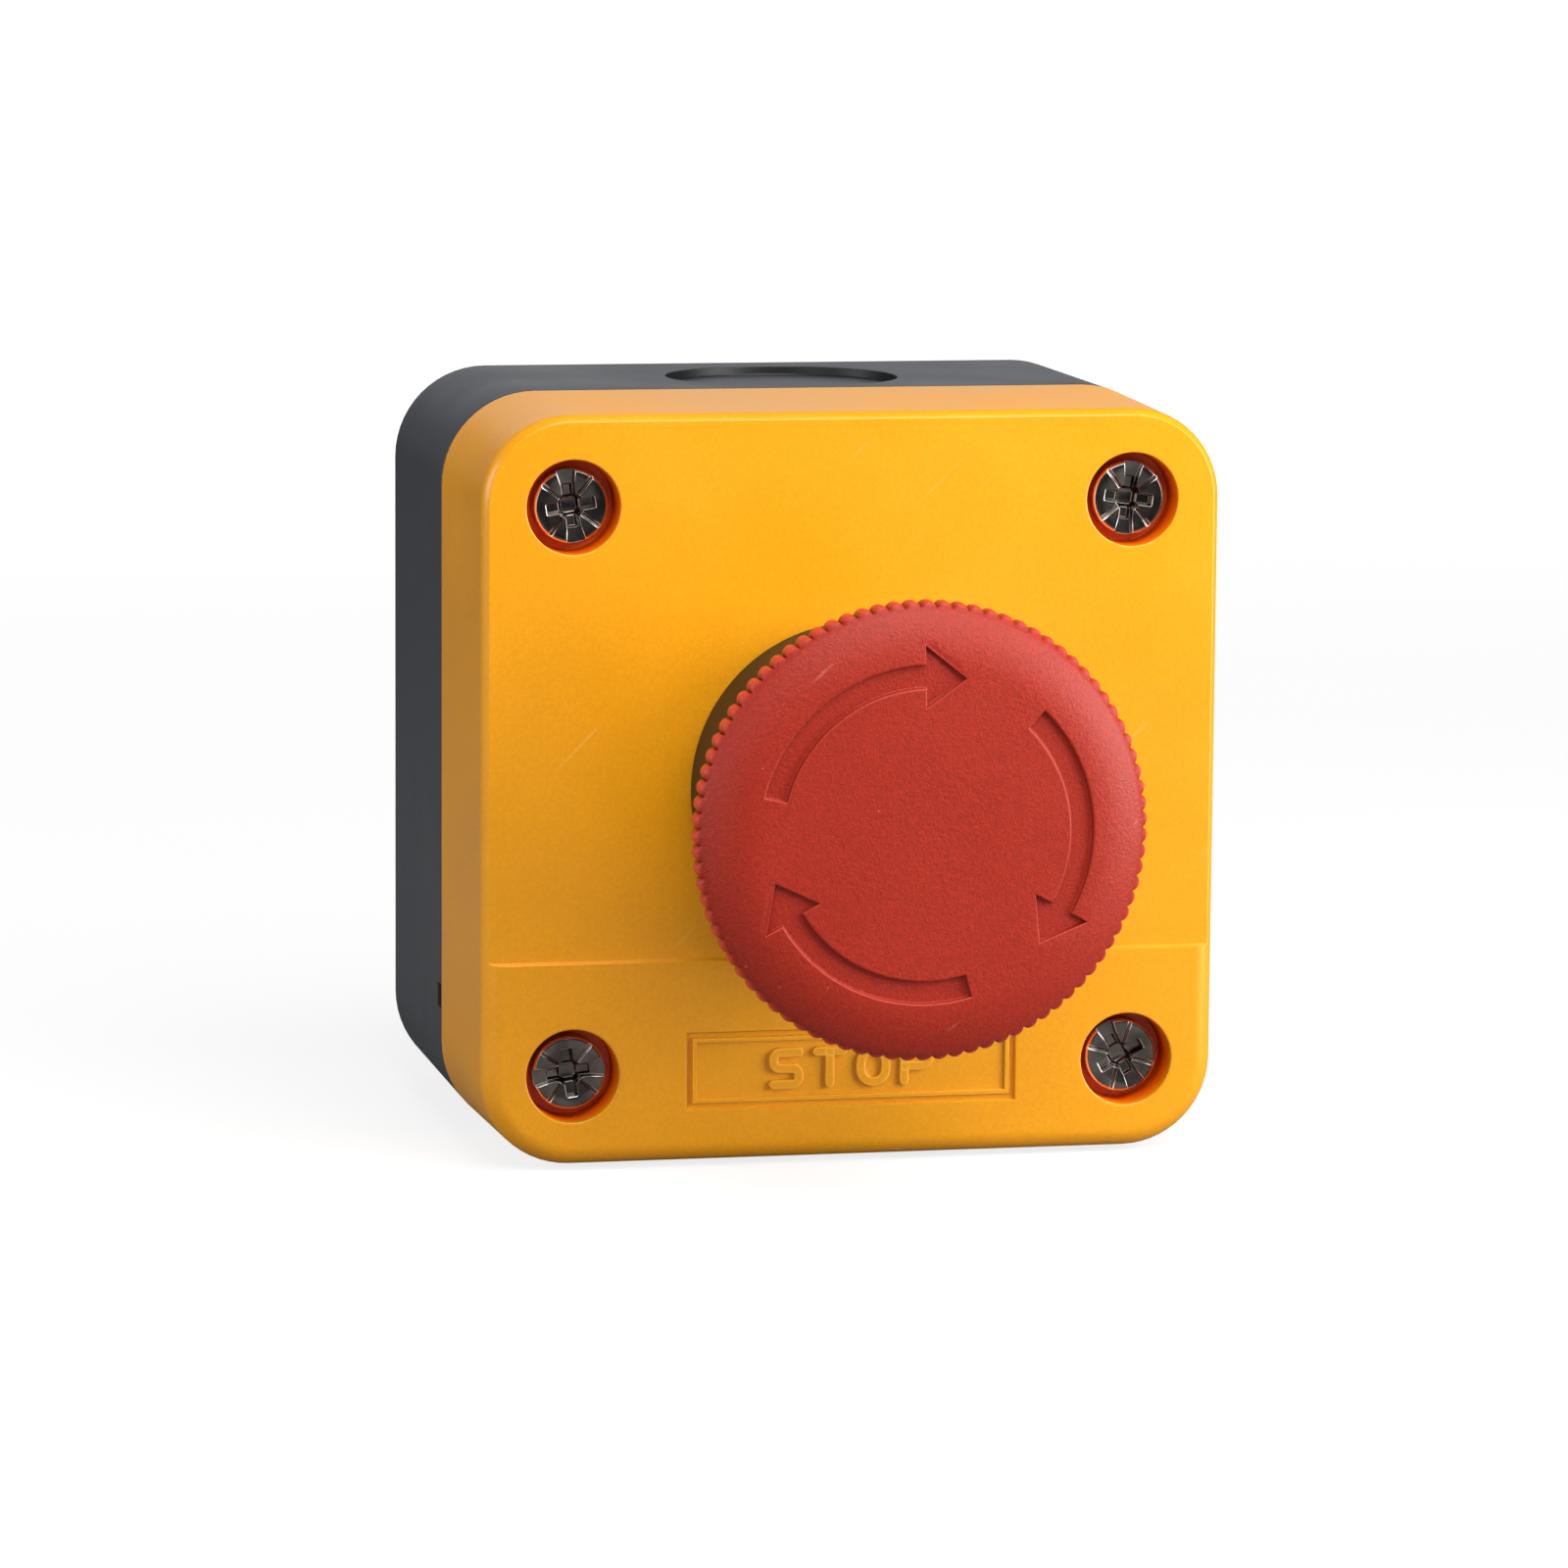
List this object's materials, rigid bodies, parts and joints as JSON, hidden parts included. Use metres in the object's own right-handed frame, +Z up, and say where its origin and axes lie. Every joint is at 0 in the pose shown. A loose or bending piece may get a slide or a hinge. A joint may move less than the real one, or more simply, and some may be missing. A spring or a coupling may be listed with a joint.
{
  "type": "emergency stop button",
  "caption": "Wall box with a red mushroom push button that latches when pressed and is released by a clockwise twist; dark base, yellow cover.",
  "frame": {"origin": "centre of the back face, which lies on the wall", "axes": "+Z up, +Y into the wall along the press axis, +X to the right as seen from the front"},
  "size_m": [0.068, 0.0768, 0.068],
  "materials": {
    "dark_housing": "satin moulded plastic, dark blue grey",
    "yellow_housing": "satin moulded plastic, warm yellow",
    "red_head": "fine grained moulded plastic, red",
    "black_trim": "semi gloss black plastic",
    "black_inner": "matt black plastic",
    "natural_inner": "natural plastic",
    "seal_rubber": "soft black rubber",
    "screw_nickel": "nickel plated steel",
    "brass_parts": "brass",
    "spring_steel": "spring steel",
    "red_block": "red contact block plastic",
    "green_block": "green contact block plastic"
  },
  "bodies": {
    "enclosure": {"base_box": "dark_housing", "front_cover": "yellow_housing", "cover_gasket": "seal_rubber", "cover_screws": "screw_nickel", "boss_inserts": "brass_parts", "bezel_ring": "black_trim", "bezel_seal": "seal_rubber", "operator_body": "black_inner", "stem_seal": "seal_rubber", "latch_sleeve": "natural_inner", "latch_spring": "spring_steel", "mounting_collar": "black_inner", "collar_screws": "screw_nickel", "return_spring": "spring_steel", "nc_case": "red_block", "nc_case_cover": "red_block", "nc_spring": "spring_steel", "nc_fixed_contacts": "brass_parts", "nc_terminal_screws": "screw_nickel", "nc_clamp_plates": "screw_nickel", "no_case": "green_block", "no_case_cover": "green_block", "no_spring": "spring_steel", "no_fixed_contacts": "brass_parts", "no_terminal_screws": "screw_nickel", "no_clamp_plates": "screw_nickel"},
    "pusher": {"pusher_shaft": "natural_inner", "pusher_plate": "natural_inner", "twist_spring": "spring_steel"},
    "head": {"mushroom_head": "red_head", "head_stem": "natural_inner"},
    "nc_contact": {"nc_plunger": "natural_inner", "nc_bridge": "brass_parts"},
    "no_contact": {"no_plunger": "natural_inner", "no_bridge": "brass_parts"}
  },
  "joints": [
    {"name": "head_press", "type": "slide", "parent": "enclosure", "child": "pusher", "axis": [0, 1, 0], "range_m": [0, 0.0043], "stiffness_N_per_m": 1500, "springref_m": -0.004, "deforming": ["return_spring", "latch_spring"]},
    {"name": "head_twist", "type": "hinge", "parent": "pusher", "child": "head", "pos_m": [0, 0, 0], "axis": [0, 1, 0], "range_deg": [0, 35], "stiffness_Nm_per_rad": 0.05, "springref_deg": -20.05, "deforming": ["twist_spring"]},
    {"name": "nc_contact_slide", "type": "slide", "parent": "enclosure", "child": "nc_contact", "axis": [0, 1, 0], "range_m": [0, 0.0043], "stiffness_N_per_m": 200, "springref_m": -0.002, "deforming": ["nc_spring"]},
    {"name": "no_contact_slide", "type": "slide", "parent": "enclosure", "child": "no_contact", "axis": [0, 1, 0], "range_m": [0, 0.0043], "stiffness_N_per_m": 200, "springref_m": -0.002, "deforming": ["no_spring"]}
  ],
  "couplings": [
    {"joint": "nc_contact_slide", "follows": "head_press", "ratio": 1},
    {"joint": "no_contact_slide", "follows": "head_press", "ratio": 1}
  ]
}
